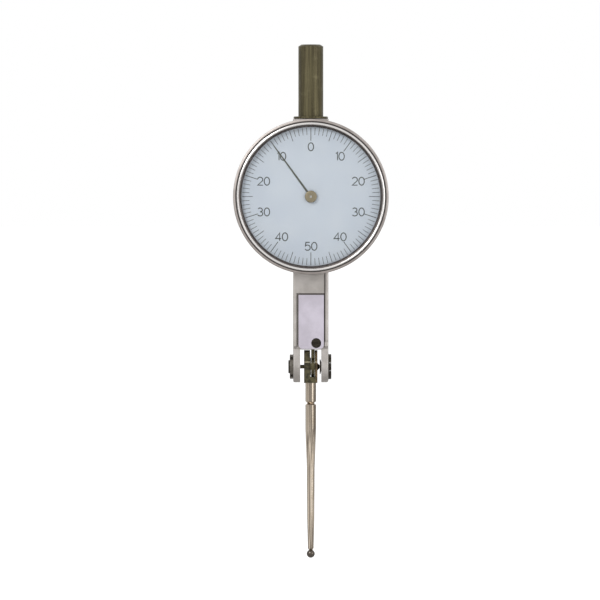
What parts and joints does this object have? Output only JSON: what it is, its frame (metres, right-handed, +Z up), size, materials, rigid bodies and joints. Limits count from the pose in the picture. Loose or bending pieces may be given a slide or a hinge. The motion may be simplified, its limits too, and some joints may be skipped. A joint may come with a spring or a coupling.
{
  "type": "dial test indicator",
  "caption": "Lever dial test indicator with round stem, turning bezel, swivelling ball-ended stylus in a fork, and a geared needle.",
  "frame": {"origin": "centre of the stem's lower end, on the top face of its collar", "axes": "+Z up along the stem, away from the body; +X to the right of someone reading the dial; the dial faces -Y"},
  "size_m": [0.0372, 0.0174, 0.124],
  "materials": {
    "satin_body": "satin chrome plated casting",
    "front_plate": "finely lapped plate",
    "bezel_plate": "satin plated ring with a polished crest",
    "olive_black": "black oxide with an olive cast",
    "black_steel": "black oxide screws",
    "grey_steel": "dark grey steel",
    "bright_steel": "bright turned steel",
    "spring_steel": "blued spring steel",
    "spring_bronze": "spring bronze",
    "brass": "machined brass",
    "bronze": "dark bronze",
    "dial_paint": "pale blue-white paint with printed scale",
    "spacer": "dark anodised ring",
    "crystal": "clear flat crystal",
    "stylus_steel": "warm bright ground steel",
    "ball_steel": "polished hard ball",
    "needle_paint": "dark greenish paint"
  },
  "bodies": {
    "frame": {"body_casting": "satin_body", "front_plate": "front_plate", "front_plate_screw": "black_steel", "side_cover": "satin_body", "side_cover_screws": "bright_steel", "stem": "olive_black", "pivot_screw_left": "black_steel", "lock_nut": "grey_steel", "pivot_screw_right": "black_steel", "dished_washer": "grey_steel", "bezel_spring_ring": "bright_steel", "movement_bridge": "brass", "bridge_screws": "bright_steel", "arbor_bearing_left": "bronze", "arbor_bearing_right": "bronze", "pointer_bearing_front": "bronze", "pointer_bearing_rear": "bronze", "spring_stud": "bright_steel", "stop_pin": "bright_steel", "measuring_spring": "spring_steel", "hairspring": "spring_bronze", "hairspring_stud": "brass"},
    "bezel_ring": {"bezel": "bezel_plate", "dial_face": "dial_paint", "spacer_ring": "spacer", "crystal": "crystal"},
    "lever": {"measuring_lever": "bright_steel", "sector_plate": "brass", "sector_rivets": "brass", "pivot_spindle": "bronze"},
    "stylus": {"stylus_holder": "olive_black", "friction_leaf": "spring_bronze", "stylus_shank": "stylus_steel", "contact_ball": "ball_steel"},
    "crown": {"crown_arbor": "bright_steel", "crown_wheel": "brass", "hairspring_collet": "brass"},
    "pointer": {"pointer_shaft": "bright_steel", "pointer_hub": "bronze", "pointer_needle": "needle_paint"}
  },
  "joints": [
    {"name": "bezel_turn", "type": "hinge", "parent": "frame", "child": "bezel_ring", "pos_m": [0, -0.00885, -0.01923], "axis": [0, -1, 0], "continuous": true},
    {"name": "lever_swing", "type": "hinge", "parent": "frame", "child": "lever", "pos_m": [0, 0, -0.0604], "axis": [1, 0, 0], "range_deg": [0, 1.4], "stiffness_Nm_per_rad": 0.1, "springref_deg": -7.73, "deforming": ["measuring_spring"]},
    {"name": "stylus_swivel", "type": "hinge", "parent": "lever", "child": "stylus", "pos_m": [0, 0, -0.0604], "axis": [1, 0, 0], "range_deg": [-110, 110]},
    {"name": "crown_turn", "type": "hinge", "parent": "frame", "child": "crown", "pos_m": [0, -0.0015, -0.01923], "axis": [1, 0, 0], "range_deg": [-60, 0], "deforming": ["hairspring"]},
    {"name": "pointer_turn", "type": "hinge", "parent": "frame", "child": "pointer", "pos_m": [0, -0.00885, -0.01923], "axis": [0, 1, 0], "range_deg": [0, 400]}
  ],
  "couplings": [
    {"joint": "crown_turn", "follows": "lever_swing", "ratio": -40.2},
    {"joint": "pointer_turn", "follows": "lever_swing", "ratio": 284.75}
  ]
}
